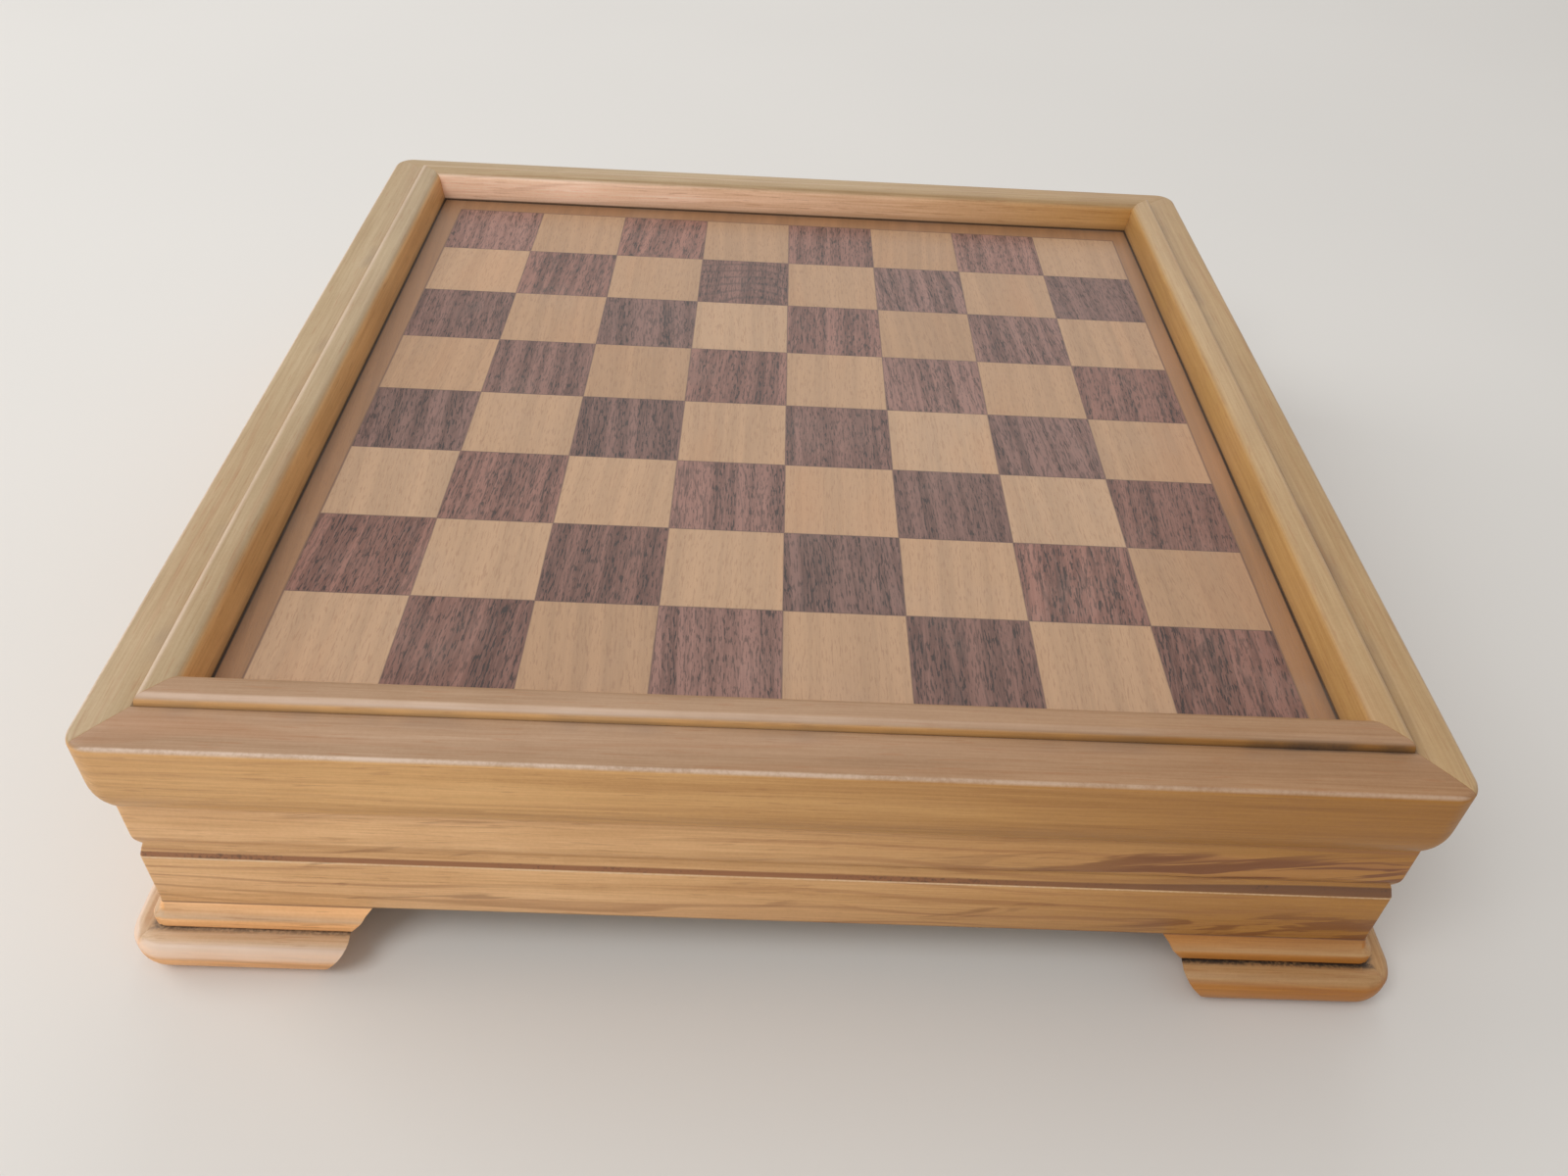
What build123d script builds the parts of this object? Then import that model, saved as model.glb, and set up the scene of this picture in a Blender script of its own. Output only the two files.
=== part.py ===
from build123d import *
from math import dist, radians, tan
import os

# A chess box: a veneered board in a moulded frame, on a low case with bracket feet.
# One drawer slides out of the left side and one out of the right side.
# Millimetres. X to the right, Y to the back, Z up; origin on the floor under the middle.
# "Out" is the distance of a side's profile from the middle of the box.

# ---------------------------------------------------------------- playing board
square = 38.0               # side of one square
squares_per_side = 8
border_width = 8.7          # plain border between the squares and the frame
veneer = 0.7
core_thickness = 8.0
board_fit = 0.2             # gap round the board inside its rabbet
field_shift_x = 0.4         # the squares are laid by hand: a little off the middle
field_shift_y = -1.8
field_turn = -0.2           # and a little out of square, in degrees

# ---------------------------------------------------------------- case
foot_height = 23.0
wall_height = 46.7
wall_thickness = 12.0
wall_corner_radius = 1.2
groove_height = 26.2        # deepest line of the groove, above the wall's lower edge
groove_depth = 1.7
groove_flank = 4.5          # the straight lower flank, measured up the wall
groove_shoulder = 3.8       # the rounded upper flank, measured up the wall
groove_shoulder_radius = 6.0
bottom_thickness = 5.0
bottom_rabbet = 5.0         # how far the bottom panel reaches under the walls
bottom_fit = 0.2
partition_thickness = 8.0
stile_width = 20.0          # face width of the corner stiles beside a drawer

# ---------------------------------------------------------------- moulded frame
cornice_overhang = 4.9      # how far the frame stands out over the walls
frame_width = 26.7          # from the board's edge to the outer face
board_rise = 19.3           # board surface above the frame's underside
lip_width = 5.2             # how far the frame's lip covers the board's edge
frame_corner_radius = 8.0
bead_width = 11.7
bead_rise = 11.9            # crest of the bead above the board
bead_lean = 2.0             # the bead's inner face leans out by this much
bead_inner_radius = 3.4
bead_outer_lean = 0.5
bead_outer_radius = 2.2
crevice_rise = 8.6          # bottom of the crevice above the board
crevice_width = 0.6
flat_inner_rise = 9.0       # inner edge of the flat above the board
flat_outer_rise = 7.4       # the flat falls to its outer edge
flat_edge_radius = 2.0
ovolo_inset = 3.3           # the curve under the fascia draws in by this much
ovolo_height = 5.6
ovolo_radius = 17.3

# ---------------------------------------------------------------- bracket feet
foot_length = 63.0          # along the wall, at the top
foot_slant = 18.5           # the inner end leans towards the corner by this much
foot_toe_radius = 3.0
foot_inner_inset = 11.0     # inner face of a bracket, in from the wall's face
foot_corner_radius = 12.0   # of the bulge
foot_strip_height = 3.0     # plain strip between the wall and the small bead
foot_strip_out = 1.2
foot_bead_out = 3.5
foot_bead_height = 6.6
foot_crevice_out = 1.8
foot_bulge_out = 10.9
foot_bulge_top = 14.8       # height of the bulge's upper corner above the floor
foot_bulge_low = 5.5
foot_bulge_radius = 4.6
foot_bulge_flats = 4        # the bulge's round is made of flats
foot_under_radius = 9.0
foot_sole_out = 7.0
foot_block_width = 18.0
foot_block_lift = 3.0       # the glue block stops short of the floor

# ---------------------------------------------------------------- drawers
drawer_side_gap = 0.5       # front to stile, each side
drawer_box_inset = 0.3      # the box is narrower than its front, each side
drawer_floor_gap = 0.3      # box above the bottom panel
drawer_edge_gap = 0.5       # front above the feet and below the frame
drawer_stop_gap = 0.3       # box to the partition when closed
drawer_side_thickness = 8.0
drawer_side_height = 38.7
drawer_lap = 6.0            # sides let into the front
drawer_back_inset = 6.0     # back panel in from the rear ends of the sides
drawer_back_thickness = 8.0
drawer_back_drop = 3.0      # back lower than the sides
drawer_housing = 3.0        # depth of the grooves for bottom and back
drawer_bottom_lift = 4.0    # bottom panel above the lower edge of the sides
drawer_bottom_thickness = 3.0
drawer_fit = 0.1            # panels in their grooves
felt_thickness = 1.0
felt_margin = 0.5
guide_height = 30.0
kicker_gap = 1.0            # cleats above the drawer sides

# ---------------------------------------------------------------- cleats, knobs, brads
cleat_width = 8.0
knob_base_radius = 5.2
knob_base_out = 1.4         # thickness of the base, out from the front's face
knob_neck_radius = 3.4
knob_head_out = 5.4         # where the head begins
knob_head_radius = 6.5
knob_rim_out = 11.4         # where the crown begins
knob_crown_radius = 3.6
knob_length = 15.0
knob_stud_radius = 2.0
knob_stud_hold = 7.0        # how far the stud goes into the knob
knob_stud_depth = 9.0       # how far it goes into the drawer front
knob_stud_fit = 0.1         # bores round the stud
brad_width = 1.6            # brads are rectangular in section
brad_thickness = 1.1
brad_length = 18.0
brad_spacing = 48.0
brads_per_side = 5

# ---------------------------------------------------------------- what follows from them
field_half = square * squares_per_side / 2
opening_half = field_half + border_width
rabbet_half = opening_half + lip_width
board_half = rabbet_half - board_fit
crevice_half = opening_half + bead_width
outer_half = opening_half + frame_width
wall_half = outer_half - cornice_overhang
wall_inner = wall_half - wall_thickness
foot_inner = wall_half - foot_inner_inset
stile_inner = wall_half - stile_width
cleat_inner = rabbet_half - cleat_width
partition_half = partition_thickness / 2

wall_top = foot_height + wall_height
bottom_top = foot_height + bottom_thickness
board_top = wall_top + board_rise
core_top = board_top - veneer
core_bottom = core_top - core_thickness
board_bottom = core_bottom - veneer
bead_top = board_top + bead_rise

drawer_front_half = stile_inner - drawer_side_gap
drawer_half = drawer_front_half - drawer_box_inset
drawer_inner_half = drawer_half - drawer_side_thickness
drawer_low = bottom_top + drawer_floor_gap
drawer_top = drawer_low + drawer_side_height
drawer_rear = partition_half + drawer_stop_gap
drawer_back_rear = drawer_rear + drawer_back_inset
drawer_back_face = drawer_back_rear + drawer_back_thickness
drawer_floor_under = drawer_low + drawer_bottom_lift
drawer_floor_top = drawer_floor_under + drawer_bottom_thickness
kicker_bottom = drawer_top + kicker_gap
drawer_front_low = foot_height + drawer_edge_gap
drawer_front_high = wall_top - drawer_edge_gap
groove_z = foot_height + groove_height
groove_low = groove_z - groove_flank
knob_z = (drawer_front_low + groove_low) / 2    # middle of the band below the groove

# Turns about Z that carry a front piece to each side of the square box.
FRONT, RIGHT, BACK, LEFT = [quarter * 360 / 4 for quarter in range(4)]
FAR = 4 * outer_half        # past everything, for cutting solids


# ---------------------------------------------------------------- shared shapes
def rounded_outline(corners):
    """Closed outline from (x, y, corner radius) triples; a round is kept within its two edges."""
    points = [(x, y) for x, y, radius in corners]
    count = len(points)
    reach = []
    for here in range(count):
        into = Vector(points[here]) - Vector(points[here - 1])
        out_of = Vector(points[(here + 1) % count]) - Vector(points[here])
        half_turn = into.get_angle(out_of) / 2
        reach.append(tan(radians(half_turn)))
    radii = [radius for x, y, radius in corners]
    for here in range(count):
        after = (here + 1) % count
        room = 0.98 * dist(points[here], points[after])
        used = radii[here] * reach[here] + radii[after] * reach[after]
        if used > room:
            radii[here] *= room / used
            radii[after] *= room / used
    return make_face(FilletPolyline(*points, radius=radii, close=True))


def flats_round(before, corner, after, radius, count):
    """Corner triples of a round made of flats, where the edges through before and after meet."""
    arrive = (Vector(corner) - Vector(before)).normalized()
    leave = (Vector(after) - Vector(corner)).normalized()
    turn = arrive.get_signed_angle(leave, Vector(0, 0, 1))
    flat = 2 * radius * tan(radians(abs(turn) / count / 2))
    point = Vector(corner) - arrive * (radius * tan(radians(abs(turn) / 2)) - flat / 2)
    points = [point]
    for bend in range(1, count):
        point = point + arrive.rotate(Axis.Z, bend * turn / count) * flat
        points.append(point)
    return [(point.X, point.Y, 0) for point in points]


def side_outline(corners):
    """Cross-section of the front side from (out, height, corner radius) triples."""
    return Plane.YZ * rounded_outline([(-out, height, radius) for out, height, radius in corners])


def mitre_wedge():
    """The space in front of both 45 degree mitre planes."""
    corners = [(0, 0), (FAR, -FAR), (-FAR, -FAR)]
    return extrude(make_face(Polyline(*corners, close=True)), amount=FAR, both=True)


def moulded_side(section, corner_centre):
    """Front side of a moulded square ring, mitred, its corners turned round corner_centre."""
    run = extrude(section, amount=corner_centre, both=True) & mitre_wedge()
    beyond = Plane.YZ * Pos(-corner_centre - FAR / 2, 0) * Rectangle(FAR, FAR)
    end = Pos(corner_centre, 0, 0) * (section & beyond)
    axis = Axis((corner_centre, -corner_centre, 0), (0, 0, 1))
    turn = revolve(end.faces(), axis, 45)
    return run + turn + mirror(turn, Plane.YZ)


def block(x0, x1, y0, y1, z0, z1):
    """Box between two opposite corners."""
    box = Box(x1 - x0, y1 - y0, z1 - z0, align=(Align.MIN, Align.MIN, Align.MIN))
    return Pos(x0, y0, z0) * box


def beyond_x(x):
    """Everything to the right of x."""
    return block(x, FAR, -FAR, FAR, -FAR, FAR)


def turned(angle, shape):
    return Rot(0, 0, angle) * shape


def turned_solid(*edges):
    """Solid of revolution about Z, from the edges of its half section."""
    half_section = Plane.XZ * make_face(Curve() + list(edges))
    return revolve(half_section.faces(), Axis.Z, 360)


def brad():
    """Headless brad pointing up from the origin."""
    section = Rectangle(brad_width, brad_thickness)
    return extrude(section, amount=brad_length)


def brad_row():
    """Places along the front side, from left to right."""
    first = (1 - brads_per_side) / 2
    return [(first + step) * brad_spacing for step in range(brads_per_side)]


# ---------------------------------------------------------------- frame
def frame_section():
    """Bead, crevice, flat, fascia and ovolo, with the rabbet that holds the board."""
    crest_in = opening_half + bead_lean
    crest_out = crevice_half - bead_outer_lean
    flat_in = crevice_half + crevice_width
    ovolo_out = outer_half - ovolo_inset
    return side_outline([
        (opening_half, board_top, 0),
        (crest_in, bead_top, bead_inner_radius),
        (crest_out, bead_top, bead_outer_radius),
        (crevice_half, board_top + crevice_rise, 0),
        (flat_in, board_top + flat_inner_rise, 0),
        (outer_half, board_top + flat_outer_rise, flat_edge_radius),
        (outer_half, wall_top + ovolo_height, ovolo_radius),
        (ovolo_out, wall_top, 0),
        (rabbet_half, wall_top, 0),
        (rabbet_half, board_top, 0),
    ])


def frame_rail(angle):
    rail = moulded_side(frame_section(), outer_half - frame_corner_radius)
    return turned(angle, rail) - cleat_brads(angle)


# ---------------------------------------------------------------- walls
def wall_outline(low, high, with_rabbet=False):
    """Wall with its groove; the front and back walls have a rabbet for the bottom panel."""
    groove_in = wall_half - groove_depth
    inner_low = [(wall_inner, low, 0)]
    if with_rabbet:
        rabbet_out = wall_inner + bottom_rabbet
        inner_low = [
            (rabbet_out, low, 0),
            (rabbet_out, low + bottom_thickness, 0),
            (wall_inner, low + bottom_thickness, 0),
        ]
    return side_outline([
        (wall_inner, high, 0),
        (wall_half, high, 0),
        (wall_half, groove_z + groove_shoulder, groove_shoulder_radius),
        (groove_in, groove_z, 0),
        (wall_half, groove_low, 0),
        (wall_half, low, 0),
        *inner_low,
    ])


def wall_ring_side(with_rabbet):
    section = wall_outline(foot_height, wall_top, with_rabbet)
    return moulded_side(section, wall_half - wall_corner_radius)


def bottom_brads():
    """Brads up through the bottom panel's edges into the front and back walls."""
    out = wall_inner + bottom_rabbet / 2
    return [turned(angle, Pos(x, -out, foot_height) * brad())
            for angle in (FRONT, BACK) for x in brad_row()]


def wall_panel(angle):
    """Front or back panel, pierced by the bottom panel's brads."""
    return turned(angle, wall_ring_side(True)) - bottom_brads()


def corner_stile(angle, mirrored):
    """Short mitred stile between a corner and a drawer."""
    stile = wall_ring_side(False) & beyond_x(stile_inner)
    if mirrored:
        stile = mirror(stile, Plane.YZ)
    return turned(angle, stile)


def bottom_panel():
    half_x = wall_inner - bottom_fit
    half_y = wall_inner + bottom_rabbet - bottom_fit
    panel = block(-half_x, half_x, -half_y, half_y, foot_height, bottom_top)
    return panel - bottom_brads()


def centre_partition():
    """Upright panel between the drawers, notched round the front and back cleats."""
    corners = [
        (-wall_inner, bottom_top),
        (wall_inner, bottom_top),
        (wall_inner, kicker_bottom),
        (cleat_inner, kicker_bottom),
        (cleat_inner, board_bottom),
        (-cleat_inner, board_bottom),
        (-cleat_inner, kicker_bottom),
        (-wall_inner, kicker_bottom),
    ]
    panel = Plane.YZ * make_face(Polyline(*corners, close=True))
    return extrude(panel, amount=partition_half, both=True)


def drawer_guide(side_x, side_y):
    """Strip on the inside of a wall that keeps a drawer straight."""
    guide = block(
        partition_half, wall_inner, stile_inner, wall_inner, bottom_top, bottom_top + guide_height
    )
    if side_x < 0:
        guide = mirror(guide, Plane.YZ)
    if side_y < 0:
        guide = mirror(guide, Plane.XZ)
    return guide


# ---------------------------------------------------------------- board
def field_place():
    return Pos(field_shift_x, field_shift_y, 0) * Rot(0, 0, field_turn)


def field_squares(parity):
    """The squares of one colour, each its own piece of veneer."""
    first = (1 - squares_per_side) / 2
    tiles = []
    for column in range(squares_per_side):
        for row in range(squares_per_side):
            if (column + row) % 2 == parity:
                centre = Pos((first + column) * square, (first + row) * square, core_top)
                tile = extrude(Rectangle(square, square), amount=veneer)
                tiles.append(field_place() * centre * tile)
    return Compound(tiles)


def border_strips():
    """Left, right, front and back strips of the border; the side strips run through."""
    sheet = Rectangle(2 * board_half, 2 * board_half)
    band = field_place() * Rectangle(2 * field_half, FAR)
    field = field_place() * Rectangle(2 * field_half, 2 * field_half)
    left, right = (sheet - band).faces().sort_by(Axis.X)
    front, back = ((sheet & band) - field).faces().sort_by(Axis.Y)
    return [extrude(Pos(0, 0, core_top) * strip, amount=veneer, dir=(0, 0, 1))
            for strip in (left, right, front, back)]


def cleat_low(angle):
    """The front and back cleats also keep the drawers from tipping, so they hang lower."""
    return kicker_bottom if angle in (FRONT, BACK) else wall_top


def cleat_brads(angle):
    """Brads out through a cleat into the frame."""
    height = (wall_top + board_bottom) / 2
    return [turned(angle, Pos(x, -cleat_inner, height) * Rot(90, 0, 0) * brad())
            for x in brad_row()]


def cleat(angle):
    """Strip inside the frame that carries the board's edge."""
    half = rabbet_half if angle in (FRONT, BACK) else cleat_inner
    strip = block(-half, half, -rabbet_half, -cleat_inner, cleat_low(angle), board_bottom)
    return turned(angle, strip) - cleat_brads(angle)


def board_sheet(low, high):
    """Full-width layer of the board."""
    return block(-board_half, board_half, -board_half, board_half, low, high)


# ---------------------------------------------------------------- feet
def foot_section():
    """Plain strip, small bead, crevice and full lower bulge of a bracket foot."""
    strip_low = foot_height - foot_strip_height
    crevice_z = strip_low - foot_bead_height
    bead_out = wall_half + foot_bead_out
    crevice = (wall_half + foot_crevice_out, crevice_z)
    bulge_out = wall_half + foot_bulge_out
    bulge_top = (bulge_out, foot_bulge_top)
    bulge_low = (bulge_out, foot_bulge_low)
    return side_outline([
        (foot_inner, 0, 0),
        (foot_inner, foot_height, 0),
        (wall_half, foot_height, 0),
        (wall_half + foot_strip_out, strip_low, 0),
        (bead_out, strip_low - 0.25 * foot_bead_height, 0),
        (bead_out, crevice_z + 0.25 * foot_bead_height, 0),
        (*crevice, 0),
        *flats_round(crevice, bulge_top, bulge_low, foot_bulge_radius, foot_bulge_flats),
        (*bulge_low, foot_under_radius),
        (wall_half + foot_sole_out, 0, 0),
    ])


def foot_bracket(angle, mirrored):
    """Half of a corner foot: mitred at the corner, cut on a slant at its inner end."""
    corner_centre = wall_half + foot_bulge_out - foot_corner_radius
    ring_side = moulded_side(foot_section(), corner_centre)
    end_top = wall_half - foot_length
    end_low = end_top + foot_slant
    slanted = rounded_outline([
        (end_top, foot_height, 0),
        (end_low, 0, foot_toe_radius),
        (FAR, 0, 0),
        (FAR, foot_height, 0),
    ])
    keep = Plane.XZ * slanted
    bracket = ring_side & extrude(keep, amount=FAR, both=True)
    if mirrored:
        bracket = mirror(bracket, Plane.YZ)
    return turned(angle, bracket)


def foot_blocks():
    """Square glue blocks behind the feet's mitres."""
    inner = foot_inner - foot_block_width
    one = block(inner, foot_inner, inner, foot_inner, foot_block_lift, foot_height)
    return Compound([turned(angle, one) for angle in (FRONT, RIGHT, BACK, LEFT)])


# ---------------------------------------------------------------- drawers, drawn facing the front
def drawer_front():
    """Front cut from the same profile as the walls, so that the groove runs on."""
    section = wall_outline(drawer_front_low, drawer_front_high)
    front = extrude(section, amount=drawer_front_half, both=True)
    lap_out = wall_inner + drawer_lap
    lap = block(drawer_inner_half, FAR, -lap_out, -wall_inner, 0, FAR)
    groove = drawer_groove(drawer_inner_half)
    return front - lap - mirror(lap, Plane.YZ) - groove - knob_stud(knob_stud_fit)


def drawer_groove(half):
    """Groove for the drawer's bottom panel, as wide as half each way."""
    low = drawer_floor_under - drawer_fit
    high = drawer_floor_top + drawer_fit
    out = wall_inner + drawer_housing
    return block(-half, half, -out, -drawer_rear, low, high)


def drawer_side(mirrored):
    """Side grooved for the bottom and housed for the back."""
    front_end = -(wall_inner + drawer_lap)
    side = block(
        drawer_inner_half, drawer_half, front_end, -drawer_rear, drawer_low, drawer_top
    )
    side -= drawer_groove(drawer_inner_half + drawer_housing)
    side -= drawer_back(drawer_fit)
    return mirror(side, Plane.YZ) if mirrored else side


def drawer_back(clearance=0.0):
    """Back panel standing on the bottom panel, or with a clearance the room that it needs."""
    half = drawer_inner_half + drawer_housing - drawer_fit + clearance
    rear = drawer_back_rear - clearance
    face = drawer_back_face + clearance
    high = drawer_top - drawer_back_drop
    if clearance:
        high = FAR
    return block(-half, half, -face, -rear, drawer_floor_top, high)


def drawer_bottom():
    half = drawer_inner_half + drawer_housing - drawer_fit
    out = wall_inner + drawer_housing - drawer_fit
    return block(-half, half, -out, -drawer_rear, drawer_floor_under, drawer_floor_top)


def drawer_felt():
    half = drawer_inner_half - felt_margin
    out = wall_inner - felt_margin
    rear = drawer_back_face + felt_margin
    return block(-half, half, -out, -rear, drawer_floor_top, drawer_floor_top + felt_thickness)


def outward(shape):
    """Carries a piece turned about Z to the knob's place, pointing out of the drawer front."""
    return Pos(0, -wall_half, knob_z) * Rot(90, 0, 0) * shape


def knob_stud(clearance=0.0):
    """Headless screw between the knob and the front, or with a clearance its holes."""
    radius = knob_stud_radius + clearance
    inner = -knob_stud_depth - clearance
    outer = knob_stud_hold + clearance
    return outward(turned_solid(Polyline(
        (0, inner), (radius, inner), (radius, outer), (0, outer), close=True
    )))


def knob():
    """Turned knob: flat base, narrow neck and a crowned head, bored for its stud."""
    bore_radius = knob_stud_radius + knob_stud_fit
    bore_end = knob_stud_hold + knob_stud_fit
    return outward(turned_solid(Polyline(
        (bore_radius, 0),
        (knob_base_radius, 0),
        (knob_base_radius, knob_base_out),
        (knob_neck_radius, knob_base_out),
        (knob_neck_radius, knob_head_out),
        (knob_head_radius, knob_head_out),
        (knob_head_radius, knob_rim_out),
        (knob_crown_radius, knob_length),
        (0, knob_length),
        (0, bore_end),
        (bore_radius, bore_end),
        close=True,
    )))


def drawer_parts():
    """Every piece of one drawer, closed, in the front side's place."""
    return {
        "front": drawer_front(),
        "side_a": drawer_side(False),
        "side_b": drawer_side(True),
        "back": drawer_back(),
        "bottom": drawer_bottom(),
        "felt": drawer_felt(),
        "knob": knob(),
        "knob_stud": knob_stud(),
    }


# ---------------------------------------------------------------- the whole box
def case_parts():
    left, right, front, back = border_strips()
    parts = {
        "front_panel": wall_panel(FRONT),
        "back_panel": wall_panel(BACK),
        "bottom_panel": bottom_panel(),
        "centre_partition": centre_partition(),
        "board_core": board_sheet(core_bottom, core_top),
        "backing_veneer": board_sheet(board_bottom, core_bottom),
        "light_squares": field_squares(0),
        "dark_squares": field_squares(1),
        "border_left": left,
        "border_right": right,
        "border_front": front,
        "border_back": back,
        "bottom_brads": Compound(bottom_brads()),
        "cleat_brads": Compound([
            one for angle in (FRONT, RIGHT, BACK, LEFT) for one in cleat_brads(angle)
        ]),
        "foot_blocks": foot_blocks(),
    }
    for name, angle in (("front", FRONT), ("right", RIGHT), ("back", BACK), ("left", LEFT)):
        parts["frame_" + name] = frame_rail(angle)
        parts["cleat_" + name] = cleat(angle)
    for name, x in (("left", -1), ("right", 1)):
        parts["guide_front_" + name] = drawer_guide(x, -1)
        parts["guide_back_" + name] = drawer_guide(x, 1)
    parts["stile_front_right"] = corner_stile(RIGHT, True)
    parts["stile_back_right"] = corner_stile(RIGHT, False)
    parts["stile_back_left"] = corner_stile(LEFT, True)
    parts["stile_front_left"] = corner_stile(LEFT, False)
    for name, angle in (("front", FRONT), ("back", BACK)):
        facing_right = angle == FRONT
        parts["foot_" + name + "_left_" + name] = foot_bracket(angle, facing_right)
        parts["foot_" + name + "_right_" + name] = foot_bracket(angle, not facing_right)
        parts["foot_" + name + "_right_side"] = foot_bracket(RIGHT, facing_right)
        parts["foot_" + name + "_left_side"] = foot_bracket(LEFT, not facing_right)
    return parts


def build():
    parts = case_parts()
    for side, angle in (("left", LEFT), ("right", RIGHT)):
        for name, shape in drawer_parts().items():
            parts["drawer_" + side + "_" + name] = turned(angle, shape)
    return parts


os.makedirs("parts", exist_ok=True)
for node, shape in build().items():
    export_step(shape, "parts/" + node + ".step")
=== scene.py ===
from math import cos, radians, sin

import bmesh
import bpy
from bpy.props import FloatProperty, FloatVectorProperty, PointerProperty
from mathutils import Matrix, Vector


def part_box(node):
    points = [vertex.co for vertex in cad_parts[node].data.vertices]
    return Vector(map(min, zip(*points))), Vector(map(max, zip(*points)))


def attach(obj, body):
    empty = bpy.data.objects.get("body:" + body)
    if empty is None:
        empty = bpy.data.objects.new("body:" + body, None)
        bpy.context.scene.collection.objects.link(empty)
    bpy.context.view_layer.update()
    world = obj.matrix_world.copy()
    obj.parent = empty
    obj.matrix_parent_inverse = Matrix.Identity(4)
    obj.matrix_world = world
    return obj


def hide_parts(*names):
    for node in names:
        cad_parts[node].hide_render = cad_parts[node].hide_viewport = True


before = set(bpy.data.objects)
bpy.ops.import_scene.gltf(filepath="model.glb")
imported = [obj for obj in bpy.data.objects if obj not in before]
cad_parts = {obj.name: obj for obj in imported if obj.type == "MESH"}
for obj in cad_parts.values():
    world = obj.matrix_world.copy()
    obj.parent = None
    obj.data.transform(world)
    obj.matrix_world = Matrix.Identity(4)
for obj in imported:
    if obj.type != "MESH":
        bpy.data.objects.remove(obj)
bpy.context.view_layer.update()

bl_info = {
    "name": "Chess box",
    "version": (1, 0, 0),
    "blender": (4, 5, 0),
    "location": "View3D > Sidebar > Chess box",
    "description": "Finishes of a chess box with drawers, around its packed parts",
    "category": "Object",
}

MM = 0.001
PER_MM = 1000.0
FRAME_LAP = 5.0 * MM

SIDES = ("front", "right", "back", "left")
CASE = "case"
DRAWERS = {"left": "drawer_left", "right": "drawer_right"}


# ---------------------------------------------------------------- places read from the frame
def board_top():
    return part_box("light_squares")[1].z


def wall_bottom():
    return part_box("front_panel")[0].z


def wall_top():
    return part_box("front_panel")[1].z


def wall_half():
    return -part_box("front_panel")[0].y


def opening_half():
    """Half the opening of the frame, which laps over the border strips."""
    return -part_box("border_front")[0].y - FRAME_LAP


# ---------------------------------------------------------------- settings
def colour(name, description, default):
    return FloatVectorProperty(
        name=name, description=description, default=default, subtype="COLOR", min=0, max=1
    )


class BoardSettings(bpy.types.PropertyGroup):
    """The inlaid field and its border."""

    light: colour("Light squares", "Middle tone of the light veneer", (0.415, 0.258, 0.150))
    dark: colour("Dark squares", "Middle tone of the dark veneer", (0.180, 0.084, 0.061))
    border: colour("Border", "Middle tone of the border veneer", (0.305, 0.165, 0.082))
    square: FloatProperty(
        name="Square", description="Side of one square", default=0.038, unit="LENGTH"
    )
    shift_x: FloatProperty(
        name="Shift X", description="Field's centre to the right", default=0.0004, unit="LENGTH"
    )
    shift_y: FloatProperty(
        name="Shift Y", description="Field's centre to the back", default=-0.00175, unit="LENGTH"
    )
    turn: FloatProperty(
        name="Turn", description="Field's turn about Z", default=radians(-0.2), unit="ROTATION"
    )


class WoodSettings(bpy.types.PropertyGroup):
    """The varnished wood of frame, walls and feet."""

    # The top and face tones are painted light: lit and shaded copies of one wood for the upward and
    # the upright faces, each darker on the right side than on the left.
    top: colour("Top, left", "Wood seen from above, left side", (0.43, 0.305, 0.170))
    top_right: colour("Top, right", "Wood seen from above, right side", (0.43, 0.275, 0.130))
    face: colour("Face, left", "Wood of the upright faces, left side", (0.69, 0.385, 0.150))
    face_right: colour("Face, right", "Wood of the upright faces, right side", (0.36, 0.150, 0.020))
    streak: colour("Streak", "Red-brown streaks", (0.33, 0.13, 0.045))
    flame: colour("Flame", "Dark flames in the grain", (0.19, 0.060, 0.018))
    # Painted shade on the flank of the groove, under the overhanging upper band.
    groove: colour("Groove", "Flank of the groove", (0.30, 0.118, 0.048))
    # Dirt in the crevices; also the tone of painted shade in the gap at the board and along the
    # crevice behind the bead.
    grime_and_shade: colour("Grime", "Dirt in the crevices", (0.045, 0.030, 0.022))
    inside: colour("Inside", "Raw wood inside the box", (0.58, 0.40, 0.22))
    easing: FloatProperty(
        name="Easing", description="Width of the eased edges", default=0.0002, unit="LENGTH"
    )


class FittingSettings(bpy.types.PropertyGroup):
    """Knobs, brads and drawer liners."""

    brass: colour("Brass", "Knobs", (0.66, 0.44, 0.16))
    steel: colour("Steel", "Brads and studs", (0.42, 0.41, 0.40))
    felt: colour("Felt", "Drawer liners", (0.035, 0.13, 0.06))


class StageSettings(bpy.types.PropertyGroup):
    """Floor, lamps and camera."""

    floor: colour("Floor", "Paper the box stands on", (0.72, 0.70, 0.67))
    sky: FloatProperty(name="Sky", description="Strength of the even light", default=0.55)
    window: FloatProperty(
        name="Window", description="Power of the lamp at the front left", default=14.0, unit="POWER"
    )
    side: FloatProperty(
        name="Side", description="Power of the lamp at the left", default=14.0, unit="POWER"
    )
    back: FloatProperty(
        name="Back", description="Power of the lamp at the back", default=9.0, unit="POWER"
    )
    camera_place: FloatVectorProperty(
        name="Camera", description="Place of the lens", default=(-0.01005, -0.39835, 0.34841),
        subtype="TRANSLATION",
    )
    lens: FloatProperty(
        name="Lens", description="Focal length in mm", default=28.663, unit="CAMERA"
    )
    pitch: FloatProperty(
        name="Pitch", description="Down", default=radians(41.486), unit="ROTATION"
    )
    yaw: FloatProperty(
        name="Yaw", description="To the right", default=radians(2.015), unit="ROTATION"
    )
    roll: FloatProperty(
        name="Roll", description="About the view", default=radians(3.6035), unit="ROTATION"
    )


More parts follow.
